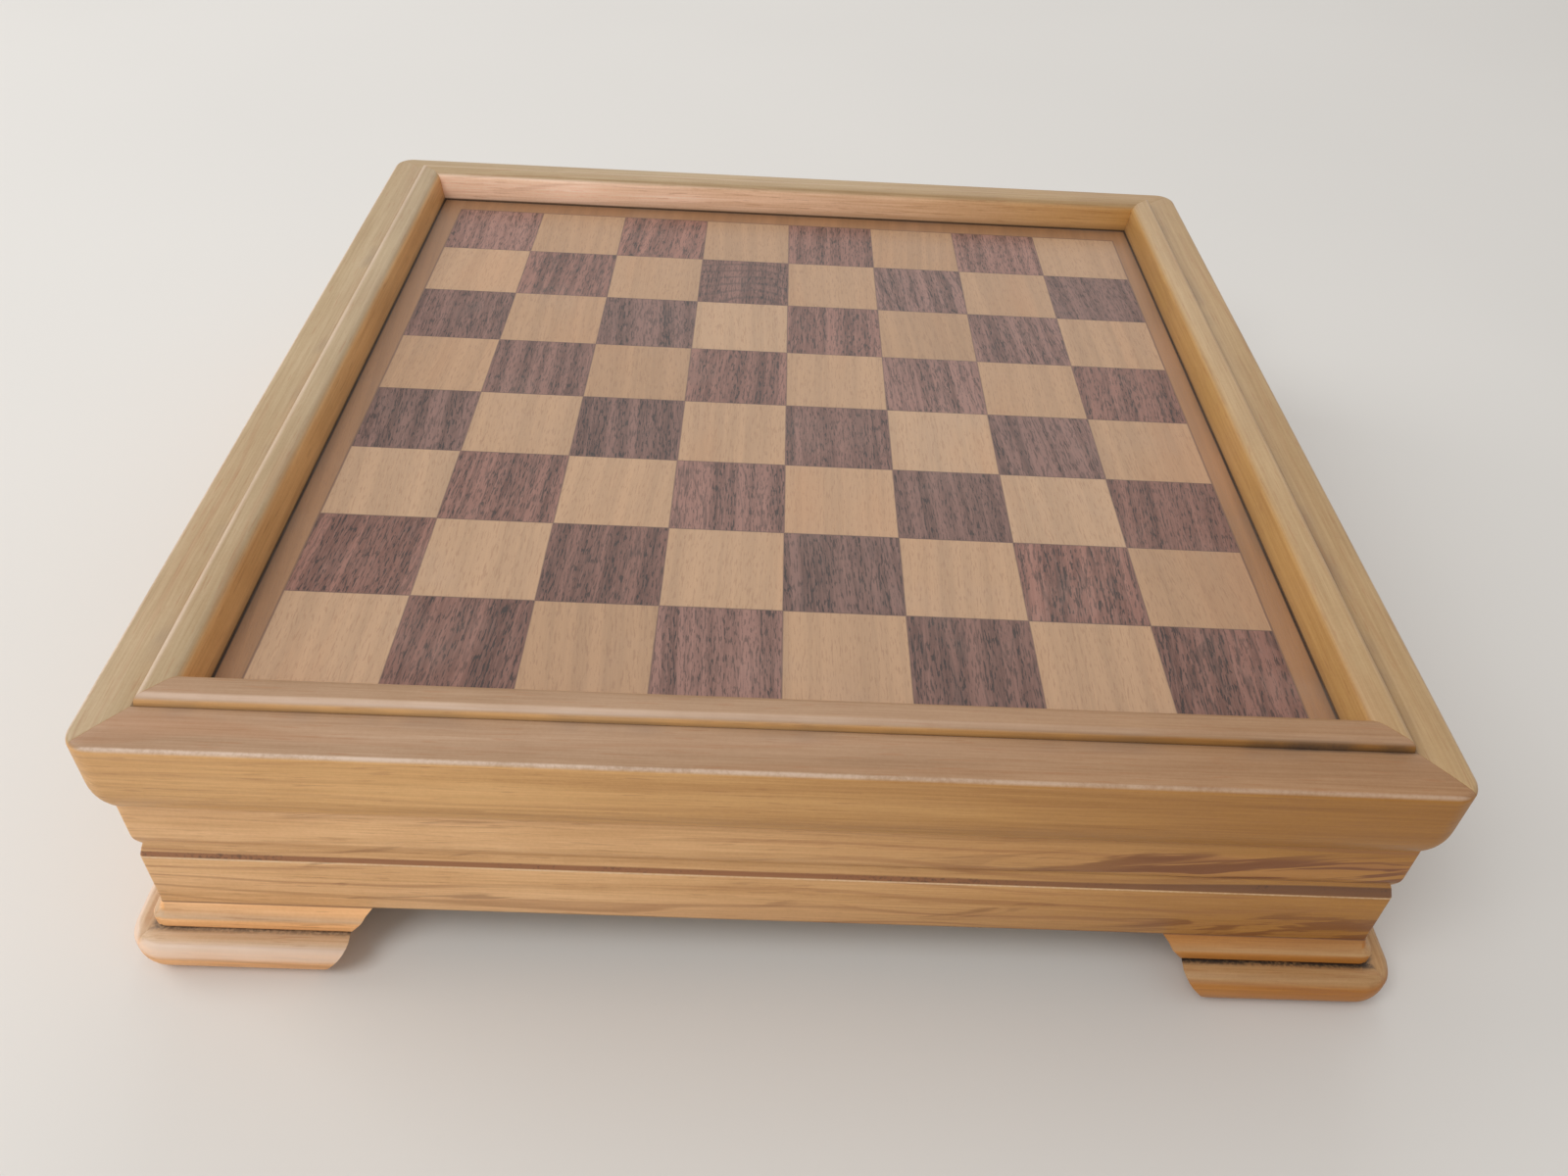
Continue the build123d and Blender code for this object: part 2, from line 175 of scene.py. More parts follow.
# ---------------------------------------------------------------- shader kit
class Socket:
    """An output socket that takes part in Python expressions."""

    def __init__(self, finish, output):
        self.finish = finish
        self.output = output

    def maths(self, operation, *values, clamp=False):
        settings = {"operation": operation, "use_clamp": clamp}
        return self.finish.node("ShaderNodeMath", settings, values=values)

    def __add__(self, other):
        return self.maths("ADD", self, other)

    def __sub__(self, other):
        return self.maths("SUBTRACT", self, other)

    def __rsub__(self, other):
        return self.maths("SUBTRACT", other, self)

    def __mul__(self, other):
        return self.maths("MULTIPLY", self, other)

    def __pow__(self, other):
        return self.maths("POWER", self, other)

    __radd__ = __add__
    __rmul__ = __mul__

    def absolute(self):
        return self.maths("ABSOLUTE", self)

    def floor(self):
        return self.maths("FLOOR", self)

    def fraction(self):
        return self.maths("FRACT", self)

    def sine(self):
        return self.maths("SINE", self)

    def most(self, other):
        return self.maths("MAXIMUM", self, other)

    def kept(self):
        """The value kept between 0 and 1."""
        return self.maths("ADD", self, 0.0, clamp=True)

    def between(self, low, high):
        """0 below low, 1 above high, and smooth between; low may be the higher."""
        settings = {"interpolation_type": "SMOOTHSTEP"}
        inputs = {"Value": self, "From Min": min(low, high), "From Max": max(low, high)}
        if low > high:
            inputs.update({"To Min": 1.0, "To Max": 0.0})
        return self.finish.node("ShaderNodeMapRange", settings, inputs)

    def within(self, start, full, fading, gone):
        """Rises from start to full, and falls again from fading to gone."""
        return self.between(start, full) * self.between(gone, fading)

    def near(self, middle, close, far):
        """1 as close to middle as close, 0 beyond far."""
        return (self - middle).absolute().between(far, close)


class Finish:
    """A material being built: one method adds every node."""

    def __init__(self, name):
        self.material = bpy.data.materials.new(name)
        self.material.use_nodes = True
        self.tree = self.material.node_tree
        self.tree.nodes.clear()
        self.place = self.node("ShaderNodeTexCoord", out="Object")

    def node(self, kind, settings=None, inputs=None, values=(), out=0):
        """Adds a node: its settings first, then its sockets, by name or in order."""
        made = self.tree.nodes.new(kind)
        for name, value in (settings or {}).items():
            setattr(made, name, value)
        for key, value in [*(inputs or {}).items(), *enumerate(values)]:
            if isinstance(value, Socket):
                self.tree.links.new(value.output, made.inputs[key])
            else:
                made.inputs[key].default_value = value
        return Socket(self, made.outputs[out]) if len(made.outputs) else None

    def stretched(self, scale, source=None, turn=0.0):
        """Object coordinates, or those of source, turned about Z and scaled."""
        inputs = {"Vector": source or self.place, "Rotation": (0.0, 0.0, turn), "Scale": scale}
        return self.node("ShaderNodeMapping", None, inputs)

    def noise(self, scale, detail, roughness, source=None, distortion=0.0):
        """Noise from 0 to 1, its scale given along each axis."""
        inputs = {
            "Vector": self.stretched(scale, source), "Scale": 1.0, "Detail": detail,
            "Roughness": roughness, "Distortion": distortion,
        }
        return self.node("ShaderNodeTexNoise", None, inputs)

    def axes(self, vector=None):
        """X, Y and Z of a vector, as three numbers."""
        split = self.node("ShaderNodeSeparateXYZ", None, {0: vector or self.place})
        return [Socket(self, end) for end in split.output.node.outputs]

    def joined(self, x, y, z):
        return self.node("ShaderNodeCombineXYZ", values=(x, y, z))

    def moved(self, vector, offset):
        """The vector with a fixed offset added."""
        return self.node("ShaderNodeVectorMath", {"operation": "ADD"}, values=(vector, offset))

    def mixed(self, factor, low, high, blend="MIX"):
        """Colour from low to high."""
        settings = {"data_type": "RGBA", "blend_type": blend, "clamp_factor": True}
        inputs = {0: factor, 6: self.tone(low), 7: self.tone(high)}
        return self.node("ShaderNodeMix", settings, inputs, out=2)

    def tone(self, value):
        return value if isinstance(value, Socket) else (*value[:3], 1.0)

    def upward(self):
        """How far the surface faces up, from -1 to 1."""
        normal = self.node("ShaderNodeNewGeometry", out="Normal")
        return self.axes(normal)[2]

    def bump(self, height, strength, depth):
        """Normal of a surface that rises by depth where height is 1."""
        inputs = {"Height": height, "Strength": strength, "Distance": depth}
        return self.node("ShaderNodeBump", None, inputs)

    def shaded(self, base, roughness, normal=None, metallic=0.0, coat=0.0, coat_roughness=0.2,
               sheen=0.0, specular=0.5):
        """Ends the material in one shader and returns it."""
        inputs = {
            "Base Color": self.tone(base), "Roughness": roughness, "Metallic": metallic,
            "Coat Weight": coat, "Coat Roughness": coat_roughness, "Sheen Weight": sheen,
            "Specular IOR Level": specular,
        }
        if normal:
            inputs["Normal"] = normal
        shader = self.node("ShaderNodeBsdfPrincipled", None, inputs)
        self.node("ShaderNodeOutputMaterial", None, {"Surface": shader})
        return self.material


def shade(tone, factor):
    """A colour made lighter or darker."""
    return tuple(min(1.0, part * factor) for part in tone[:3])


# ---------------------------------------------------------------- wood
UNTINTED = (1.0, 1.0, 1.0)
BOARD_STEP = (0.731, 0.377, 0.193)  # through the grain, from one board to the next
SINE_PERIOD = 6.283
PLIES = 5.0

# Tones of wear, dirt and joints on the varnished wood, and of painted shade and painted highlights.
GLOW = (0.50, 0.20, 0.065)
BEAD_FOOT_DARK = (0.30, 0.16, 0.08)
HAZE = (0.15, 0.10, 0.08)
BEAD_HIGHLIGHT = (0.78, 0.60, 0.48)
WORN_EDGE_AND_HIGHLIGHT = (0.82, 0.64, 0.51)
BARE_LIP = (0.84, 0.66, 0.46)
FOOT_SHEEN = (0.84, 0.67, 0.56)
WALL_SEAM = (0.16, 0.065, 0.03)
FOOT_SEAM = (0.15, 0.065, 0.035)
SHADED = (0.20, 0.10, 0.05)

# Tones of pores, joints and dirt on the veneer, and of painted shade.
LIGHT_PORE = (0.27, 0.14, 0.075)
BLUSH = (0.50, 0.245, 0.115)
SQUARE_JOINT = (0.115, 0.06, 0.045)
STRIP_JOINT = (0.10, 0.055, 0.04)
BOARD_EDGE_SHADE = (0.016, 0.009, 0.006)
DUST = (0.10, 0.07, 0.05)
BLOOM = (0.45, 0.36, 0.31)

# Places on the sections, in mm.
CREVICE_OUT = 11.95  # crevice behind the bead, out from the frame's opening
FRAME_EDGE_OUT = 4.0  # top edge of the fascia, out from the wall
GROOVE_DEEP = 26.2  # deepest line of the groove, over the wall's lower edge
GROOVE_LIP = GROOVE_DEEP - 4.5
FOOT_CREVICE = 9.6  # crevice of a foot, under the wall's lower edge


def tinted(tone, tint):
    """A colour with each part multiplied by that of the tint."""
    return tuple(part * share for part, share in zip(tone, tint))


def outness(place):
    """Distance from the middle of the box, measured square to its sides."""
    return place[0].absolute().most(place[1].absolute())


def grain_place(finish, along, seed):
    """Coordinates whose first axis runs along the grain, shifted so that every board differs."""
    x, y, z = finish.axes()
    run, across = (x, y) if along == "X" else (y, x)
    place = finish.joined(run, across, z)
    return finish.moved(place, tuple(step * seed for step in BOARD_STEP))


def wood_grain(finish, place, ring_scale, warp):
    """Growth rings, fibres and broad bands of a sawn board, each from 0 to 1."""
    slow = finish.noise((2.2, 14.0, 14.0), 2.0, 0.45, place)
    across, height = finish.axes(place)[1:]
    depth = (across * 0.8 + height * 1.1) * ring_scale + slow * warp
    rings = (depth * SINE_PERIOD).sine() * 0.5 + 0.5
    fibres = finish.noise((9.0, 520.0, 520.0), 4.0, 0.6, place)
    broad = finish.noise((3.0, 60.0, 60.0), 3.0, 0.55, place)
    return rings, fibres, broad


def honey_wood(name, along, seed, marks, streaks, flames=0.0, top_tint=UNTINTED,
               face_tint=UNTINTED, inner_light_tint=None):
    """Varnished honey-coloured wood, its tops and faces painted as lit and shaded copies; marks adds
    the dirt, wear and painted light and shade of its own place.
    """
    settings = bpy.context.scene.chess_wood
    finish = Finish(name)
    x, y, z = finish.axes()
    place = grain_place(finish, along, seed)
    run, across, height = finish.axes(place)
    slow = finish.noise((3.0, 20.0, 20.0), 3.0, 0.5, place)
    fibres = finish.noise((26.0, 1200.0, 1200.0), 3.0, 0.6, place)
    bands = finish.noise((3.5, 90.0, 90.0), 4.0, 0.6, place)
    flecks = finish.noise((90.0, 1400.0, 1400.0), 1.0, 0.5, place)
    patch = finish.noise((4.0, 26.0, 26.0), 2.0, 0.5, place)
    figure = ((across * 0.9 + height * 1.2) * 105.0 + slow * 8.0) * SINE_PERIOD
    rings = (figure.sine() * 0.5 + 0.5).between(0.82, 1.0)
    mottle = finish.noise((30.0, 30.0, 30.0), 3.0, 0.6)
    fine = finish.noise((900.0, 900.0, 900.0), 2.0, 0.6)

    # Painted shade: the wood darkens from the left side to the right side.
    shade_to_right = (x + mottle * 0.06 - 0.03).between(-0.10, 0.20)

    def lit_to_shaded(left, right, tint):
        """The left side's tone turning into the right side's, both tinted: painted shade, darker
        towards the right.
        """
        return finish.mixed(shade_to_right, tinted(left, tint), tinted(right, tint))

    face = lit_to_shaded(settings.face, settings.face_right, face_tint)
    # Painted light on the sides of the rails that face the board.
    if inner_light_tint:
        lit_inner_face = lit_to_shaded(settings.face, settings.face_right, inner_light_tint)
        inward = outness((x, y, z)).between(wall_half() - 15.0 * MM, wall_half() - 17.0 * MM)
        face = finish.mixed(inward, face, lit_inner_face)
    top = lit_to_shaded(settings.top, settings.top_right, top_tint)
    # Painted light: upward faces take the top tone and upright faces the face tone.
    body = finish.mixed(finish.upward().between(0.35, 0.85), face, top)

    tone = bands * 0.62 + fibres * 0.50 + mottle * 0.25 + fine * 0.12 + 0.255
    body = finish.mixed(1.0, body, finish.joined(tone, tone ** 1.35, tone ** 1.9), "MULTIPLY")
    lines = rings * (patch.between(0.42, 0.70) * 0.8 + 0.10) * streaks
    body = finish.mixed(lines, body, settings.streak)
    body = finish.mixed(flecks.between(0.62, 0.72) * 0.28, body, settings.streak)
    glow = patch.between(0.50, 0.72) * bands.between(0.42, 0.62) * 0.5 * streaks
    body = finish.mixed(glow, body, GLOW)
    if flames:
        rising = finish.joined(run, across, height - run * 0.13)
        lens = finish.noise((17.0, 190.0, 170.0), 3.0, 0.6, rising, 0.9)
        rise = (z - wall_bottom()) * PER_MM
        upper = x.between(0.03, 0.12) * rise.within(24.5, 29.0, 36.0, 46.0)
        lower = x.between(0.09, 0.13) * rise.between(16.0, 8.0) * 0.8
        body = finish.mixed(
            lens.between(0.485, 0.56) * upper.most(lower) * flames, body, settings.flame
        )
        body = finish.mixed(lens.between(0.60, 0.72) * 0.55 * flames, body, settings.flame)
    body = marks(finish, body, (x, y, z), mottle, fine)

    roughness = (0.34 + fibres * 0.12 + mottle * 0.20).kept()
    normal = finish.bump(fibres * 0.4 + fine * 0.25 + flecks * 0.35, 0.25, 0.0002)
    return finish.shaded(body, roughness, normal, coat=0.10, coat_roughness=0.30, specular=0.42)


def frame_marks(finish, body, place, mottle, fine):
    """Painted shade in the gap at the board, a darker foot of the bead, dirt and painted shade in
    the crevice behind the bead, a painted highlight on the bead's shoulder, and an outer edge partly
    worn and partly a painted highlight.
    """
    grime_and_shade = bpy.context.scene.chess_wood.grime_and_shade
    x, out, z = place[0], outness(place), place[2]
    rise = (z - board_top()) * PER_MM
    beyond = (out - opening_half()) * PER_MM
    # Painted shade: a dark line in the gap where the frame laps over the board.
    line = rise.between(0.9, 0.35) * beyond.between(2.0, 1.2)
    body = finish.mixed(line * 0.93, body, shade(grime_and_shade, 0.5))
    # Darker and patchy at the foot of the bead, next to the board.
    low = rise.between(4.0, 0.0) * beyond.between(3.0, 1.5)
    body = finish.mixed(low * (mottle * 0.5 + 0.12).kept(), body, BEAD_FOOT_DARK)

    behind = beyond - CREVICE_OUT
    patchy = (mottle.between(0.38, 0.62) * 0.7 + fine * 0.5).kept()
    more = x.within(0.08, 0.15, 0.165, 0.178) * 0.75 + 0.10
    dirt = behind.absolute().between(1.4, 0.3) * patchy * more
    body = finish.mixed(dirt.kept(), body, grime_and_shade)
    # Painted shade: a thin dark line along the crevice behind the bead.
    thin = behind.absolute().between(0.5, 0.15)
    body = finish.mixed(thin * 0.40, body, shade(grime_and_shade, 2.0))
    haze = behind.near(1.5, 0.5, 4.5) * mottle.between(0.45, 0.7) * 0.28
    body = finish.mixed(haze.kept(), body, HAZE)

    # Painted highlight on the bead's outer shoulder, stronger towards the left, where the light
    # comes from.
    light_from_left = x.between(0.14, -0.06)
    shoulder_highlight = behind.near(-1.7, 0.3, 1.5) * rise.between(9.5, 10.8)
    shoulder_highlight = shoulder_highlight * (mottle * 0.5 + 0.15) * (light_from_left * 0.7 + 0.2)
    body = finish.mixed(shoulder_highlight.kept(), body, BEAD_HIGHLIGHT)
    # The outer top edge, partly worn bare and partly a painted highlight, stronger towards the left.
    past_wall = (out - wall_half()) * PER_MM
    worn = past_wall.between(FRAME_EDGE_OUT - 0.7, FRAME_EDGE_OUT)
    worn = worn * finish.upward().between(0.35, 0.75) * (light_from_left * 0.6 + 0.5)
    chips = (fine * 0.5 + mottle * 0.8).between(0.45, 0.80) * 0.35 + 0.2
    return finish.mixed((worn * chips).kept(), body, WORN_EDGE_AND_HIGHLIGHT)


def wall_marks(finish, body, place, mottle, fine):
    """Painted shade on the flank of the groove, its worn lip, the seam over the feet and painted
    shade under the frame.
    """
    settings = bpy.context.scene.chess_wood
    x, z = place[0], place[2]
    rise = (z - wall_bottom()) * PER_MM
    reach = x.between(0.09, 0.165) * 1.5 + (GROOVE_LIP + 1.9)
    # Painted shade on the flank of the groove, darker towards the right.
    flank = rise.between(GROOVE_LIP + 0.05, GROOVE_LIP + 0.4)
    flank = flank * ((reach - rise) * 2.0 + 0.5).kept()
    tint = finish.mixed(x.between(0.0, 0.16), settings.groove, shade(settings.groove, 0.55))
    body = finish.mixed(flank * (0.80 + mottle * 0.2), body, tint)
    spots = flank * (mottle * 0.6 + fine * 0.6).between(0.62, 0.80) * 0.55
    body = finish.mixed(spots, body, settings.grime_and_shade)
    worn = rise.near(GROOVE_LIP - 0.15, 0.1, 0.45) * (fine + mottle - 0.45).kept() * 0.8
    body = finish.mixed(worn.kept(), body, BARE_LIP)
    above = rise.near(GROOVE_DEEP + 2.0, 0.4, 2.2)
    body = finish.mixed(above * mottle.between(0.40, 0.7) * 0.25, body, settings.streak)
    seam = rise.between(0.6, 0.0) * (mottle * 0.9 + 0.1)
    body = finish.mixed(seam.kept(), body, WALL_SEAM)
    under_frame = ((z - wall_top()) * PER_MM).between(-1.2, 0.0)
    return finish.mixed(under_frame * 0.40, body, SHADED)


def foot_marks(finish, body, place, mottle, fine):
    """Dirt in the crevice between bead and bulge, a painted sheen on the bulge, and painted shade at
    the sole.
    """
    settings = bpy.context.scene.chess_wood
    x, z = place[0], place[2]
    beyond = (outness(place) - wall_half()) * PER_MM
    over = (z - wall_bottom()) * PER_MM + FOOT_CREVICE
    crevice = over.absolute().between(1.15, 0.3) * beyond.between(4.6, 2.6)
    patchy = (mottle.between(0.3, 0.6) * 0.5 + fine.between(0.35, 0.65) * 0.7).kept()
    amount = x.between(-0.1, 0.14) * 0.55 + 0.42
    body = finish.mixed((crevice * (patchy + 0.25) * amount).kept(), body, settings.grime_and_shade)
    spread = beyond.between(5.6, 2.6) * over.within(-1.0, -0.4, 0.9, 1.6)
    speckled = fine.between(0.38, 0.58) * 0.6 + mottle.between(0.35, 0.6) * 0.4
    spread = spread * speckled * (amount + 0.1)
    body = finish.mixed(spread.kept(), body, shade(settings.grime_and_shade, 1.3))
    # Painted highlight on the upper part of the left foot's bulge.
    sheen = over.within(-5.5, -2.5, -0.3, 0.6) * beyond.between(6.0, 8.0) * x.between(0.1, -0.1)
    body = finish.mixed((sheen * (mottle * 0.6 + 0.34)).kept(), body, FOOT_SHEEN)
    seam = over.between(FOOT_CREVICE - 0.55, FOOT_CREVICE)
    body = finish.mixed(seam * 0.75, body, FOOT_SEAM)
    sole = (z * PER_MM).between(1.2, 0.0)
    return finish.mixed(sole * 0.5, body, SHADED)


def curved_figure(column, row, slow):
    """Arcs in the grain of one dark square, fourth from the left in the second row from the back."""
    inside = (column + 0.5).absolute().between(0.5, 0.49) * (row - 2.5).absolute().between(0.5, 0.49)
    bow = ((column + 0.45) ** 2.0 + (row - 1.75) ** 2.0 * 1.6 + slow * 0.25) ** 0.5
    return (bow * 34.0).sine().between(0.35, 0.95) * inside


def veneer(name, middle, seed, dark=False, squares=True):
    """Sliced veneer with its grain towards the back; every square is its own piece."""
    board = bpy.context.scene.chess_board
    finish = Finish(name)
    x, y, z = finish.axes()
    centred = finish.moved(finish.place, (-board.shift_x, -board.shift_y, 0.0))
    in_squares = (1 / board.square, 1 / board.square, 1.0)
    field = finish.stretched(in_squares, centred, -board.turn)
    column, row = finish.axes(field)[:2]
    cell = finish.joined(column.floor() * float(squares), row.floor() * float(squares), seed)
    chance = finish.node(
        "ShaderNodeTexWhiteNoise", {"noise_dimensions": "3D"}, {"Vector": cell}, out="Color"
    )
    first, second, third = finish.axes(chance)
    lean = (second - 0.5) * 0.16
    across = x + y * lean + second * 5.0
    place = finish.joined(y + first * 7.0, across, third * 3.0 + seed)
    slow = finish.noise((8.0, 60.0, 1.0), 3.0, 0.5, place)
    bands = finish.noise((4.0, 210.0, 1.0), 3.0, 0.6, place)
    fibres = finish.noise((90.0, 1500.0, 1.0), 3.0, 0.65, place)
    pores = finish.noise((240.0, 1700.0, 1.0), 2.0, 0.55, place)
    mottle = finish.noise((24.0, 24.0, 1.0), 3.0, 0.6)
    cloud = finish.noise((9.0, 9.0, 1.0), 2.0, 0.5)

    if dark:
        low, high = tinted(middle, (0.58, 0.53, 0.50)), tinted(middle, (1.40, 1.53, 1.60))
        body = finish.mixed(bands.between(0.34, 0.66), low, high)
        warmth = finish.mixed(second, (1.08, 0.93, 0.86), (0.96, 1.0, 1.05))
        body = finish.mixed(1.0, body, warmth, "MULTIPLY")
        line = ((across * 150.0 + slow * 9.0) * SINE_PERIOD).sine().between(0.75, 1.0)
        body = finish.mixed(line * (third * 0.5 + 0.15), body, shade(middle, 0.33))
        body = finish.mixed(curved_figure(column, row, slow) * 0.6, body, shade(middle, 0.33))
        glint = tinted(middle, (1.85, 2.10, 2.25))
        body = finish.mixed(fibres.between(0.40, 0.68) * 0.38, body, glint)
        amount = bands.between(0.62, 0.38) * 0.45 + 0.50
        body = finish.mixed(pores.between(0.53, 0.60) * amount, body, shade(middle, 0.16))
        tone = first * 0.36 + 0.82
    else:
        body = finish.mixed(bands.between(0.30, 0.70), shade(middle, 0.90), shade(middle, 1.09))
        warmth = finish.mixed(first * 0.7 + second * 0.3, (1.04, 0.95, 0.84), (0.98, 1.0, 1.03))
        body = finish.mixed(1.0, body, warmth, "MULTIPLY")
        body = finish.mixed(fibres.between(0.42, 0.72) * 0.20, body, shade(middle, 1.35))
        body = finish.mixed(pores.between(0.54, 0.66) * 0.42, body, LIGHT_PORE)
        blush = (cloud * 0.6 + slow * 0.5).between(0.55, 0.75)
        body = finish.mixed(blush * 0.28, body, BLUSH)
        tone = first * 0.20 + 0.90
    body = finish.mixed(1.0, body, finish.joined(tone, tone, tone), "MULTIPLY")

    wander = finish.noise((70.0, 70.0, 1.0), 2.0, 0.5) * 0.006 - 0.003
    if squares:
        rim = (column.fraction() - 0.5).absolute().most((row.fraction() - 0.5).absolute())
        joint = (rim + wander).between(0.4905, 0.4965)
        body = finish.mixed(joint * 0.62, body, SQUARE_JOINT)
    else:
        joint = (column.absolute().most(row.absolute()) + wander).between(4.018, 4.006)
        body = finish.mixed(joint * 0.55, body, STRIP_JOINT)
        beyond = (outness((x, y, z)) - opening_half()) * PER_MM
        # Painted shade: a dark line under the frame's lip, where the frame laps over the border.
        line = (beyond + wander * 30.0).between(-0.95, -0.35)
        body = finish.mixed(line * 0.95, body, BOARD_EDGE_SHADE)
        dirt = beyond.between(-5.0, 0.0) * (mottle.between(0.35, 0.7) * 0.7 + pores * 0.3)
        body = finish.mixed((dirt * 0.55).kept(), body, DUST)
    body = finish.mixed(mottle.between(0.48, 0.8) * 0.10, body, BLOOM)
    roughness = (0.34 + fibres * 0.16 + mottle * 0.18).kept()
    normal = finish.bump(fibres * 0.4 - pores.between(0.53, 0.62) * 0.5, 0.22, 0.0002)
    return finish.shaded(body, roughness, normal, coat=0.14, coat_roughness=0.35)


def raw_wood(name, along, seed, middle):
    """Unvarnished wood inside the box."""
    finish = Finish(name)
    place = grain_place(finish, along, seed)
    rings, fibres, broad = wood_grain(finish, place, 40.0, 2.6)
    flecks = finish.noise((45.0, 900.0, 900.0), 1.0, 0.5, place)
    tone = (rings * 0.35 + fibres * 0.4 + broad * 0.4 - 0.08).kept()
    body = finish.mixed(tone, shade(middle, 0.72), shade(middle, 1.168))
    body = finish.mixed(flecks.between(0.64, 0.72) * 0.3, body, shade(middle, 0.45))
    normal = finish.bump(fibres * 0.6 + flecks * 0.4, 0.3, 0.0003)
    return finish.shaded(body, (0.58 + fibres * 0.2).kept(), normal, specular=0.35)


def plywood(name, low, high, seed, middle):
    """Plywood: sawn faces, and thin plies on the edges between low and high."""
    finish = Finish(name)
    place = grain_place(finish, "X", seed)
    rings, fibres, broad = wood_grain(finish, place, 26.0, 3.0)
    tone = (rings * 0.3 + fibres * 0.4 + broad * 0.45 - 0.1).kept()
    body = finish.mixed(tone, shade(middle, 0.72), shade(middle, 1.16))
    height = finish.axes()[2]
    plies = ((height - low) * (PLIES / (high - low))).fraction()
    side = finish.upward().absolute().between(0.5, 0.2)
    body = finish.mixed(plies.between(0.42, 0.58) * side * 0.55, body, shade(middle, 0.45))
    normal = finish.bump(fibres, 0.3, 0.0003)
    return finish.shaded(body, (0.62 + fibres * 0.15).kept(), normal, specular=0.3)


# ---------------------------------------------------------------- metal and felt
def brass(name):
    """Polished brass, lightly tarnished."""
    finish = Finish(name)
    tone = bpy.context.scene.chess_fittings.brass
    cloud = finish.noise((160.0, 160.0, 160.0), 4.0, 0.6)
    rub = finish.noise((900.0, 900.0, 900.0), 2.0, 0.5)
    body = finish.mixed(cloud.between(0.4, 0.7), tone, shade(tone, 0.72))
    roughness = (0.16 + cloud * 0.2 + rub * 0.08).kept()
    return finish.shaded(body, roughness, finish.bump(rub, 0.05, 0.0001), metallic=1.0)


def steel(name):
    """Bright drawn steel."""
    finish = Finish(name)
    tone = bpy.context.scene.chess_fittings.steel
    cloud = finish.noise((700.0, 700.0, 700.0), 3.0, 0.6)
    body = finish.mixed(cloud, shade(tone, 0.8), shade(tone, 1.15))
    roughness = (0.28 + cloud * 0.2).kept()
    return finish.shaded(body, roughness, finish.bump(cloud, 0.1, 0.0001), metallic=1.0)


def felt(name):
    """Pressed wool felt."""
    finish = Finish(name)
    tone = bpy.context.scene.chess_fittings.felt
    nap = finish.noise((1500.0, 1500.0, 1500.0), 4.0, 0.7, distortion=0.6)
    cloud = finish.noise((60.0, 60.0, 60.0), 3.0, 0.6)
    body = finish.mixed((nap * 0.7 + cloud * 0.4).kept(), shade(tone, 0.6), shade(tone, 1.5))
    normal = finish.bump(nap, 0.7, 0.0004)
    return finish.shaded(body, 0.95, normal, sheen=0.35, specular=0.15)


# ---------------------------------------------------------------- pieces
SHARP = radians(32)  # edges turning by more than this are corners
SAME_PLACE = 1e-6
LEVEL = radians(0.4)  # faces turned by less than this are joined
BEAD_EASING = 0.9 * MM
FOOT_BEAD_LOW, FOOT_BEAD_HIGH = 9.0 * MM, 2.0 * MM  # under the wall's lower edge
FOOT_BEAD_OUT = 2.8 * MM  # out from the wall
FELT_CELLS = (60, 120)
FELT_WAVE = 0.12 * MM
KNOB_STEPS = 48
KNOB_OUTLINE = (  # along the knob and out from its axis, as shares of its length and radius
    (0.00, 0.78), (0.05, 0.80), (0.10, 0.76), (0.16, 0.60), (0.23, 0.51), (0.31, 0.53),
    (0.40, 0.72), (0.48, 0.90), (0.57, 0.985), (0.66, 0.995), (0.76, 0.93), (0.86, 0.77),
    (0.94, 0.52), (0.985, 0.25), (1.00, 0.0),
)


def new_piece(name, shape, material):
    """Object at the origin from a bmesh, smooth except at its corners."""
    mesh = bpy.data.meshes.new(name)
    shape.to_mesh(mesh)
    shape.free()
    mesh.polygons.foreach_set("use_smooth", [True] * len(mesh.polygons))
    mesh.set_sharp_from_angle(angle=SHARP)
    mesh.materials.append(material)
    piece = bpy.data.objects.new(name, mesh)
    bpy.context.scene.collection.objects.link(piece)
    return piece


def round_edges(shape, width, segments, chosen=None):
    """Bevels the sharp outer edges, or those of them that are chosen."""
    sharp = [
        edge for edge in shape.edges
        if edge.is_manifold and edge.calc_face_angle_signed(0.0) > SHARP
        and (chosen is None or chosen(edge))
    ]
    bmesh.ops.bevel(
        shape, geom=sharp, offset=width, offset_type="OFFSET", segments=segments, profile=0.5,
        affect="EDGES", clamp_overlap=True, material=-1,
    )


def outness_of(point):
    """Distance of one point from the middle of the box, measured like outness."""
    return max(abs(point.x), abs(point.y))


def on_foot_bead(edge):
    """Whether an edge runs along the small bead of a foot."""
    low, high = wall_bottom() - FOOT_BEAD_LOW, wall_bottom() - FOOT_BEAD_HIGH
    return all(
        low < vert.co.z < high and outness_of(vert.co) > wall_half() + FOOT_BEAD_OUT
        for vert in edge.verts
    )


def eased(node, body, material, wide=None):
    """Merged copy of a CAD node with eased outer edges, standing for that node.

    The edges that wide chooses get the broader round of a bead.
    """
    shape = bmesh.new()
    shape.from_mesh(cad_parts[node].data)
    bmesh.ops.remove_doubles(shape, verts=shape.verts, dist=SAME_PLACE)
    bmesh.ops.dissolve_limit(
        shape, angle_limit=LEVEL, use_dissolve_boundaries=False,
        verts=shape.verts, edges=shape.edges, delimit={"NORMAL"},
    )
    if wide:
        round_edges(shape, BEAD_EASING, 3, wide)
    round_edges(shape, bpy.context.scene.chess_wood.easing, 2)
    piece = new_piece(node + "_eased", shape, material)
    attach(piece, body)
    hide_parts(node)


def finished(node, material):
    """Gives a CAD node that keeps its own mesh a finish."""
    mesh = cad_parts[node].data
    mesh.materials.clear()
    mesh.materials.append(material)


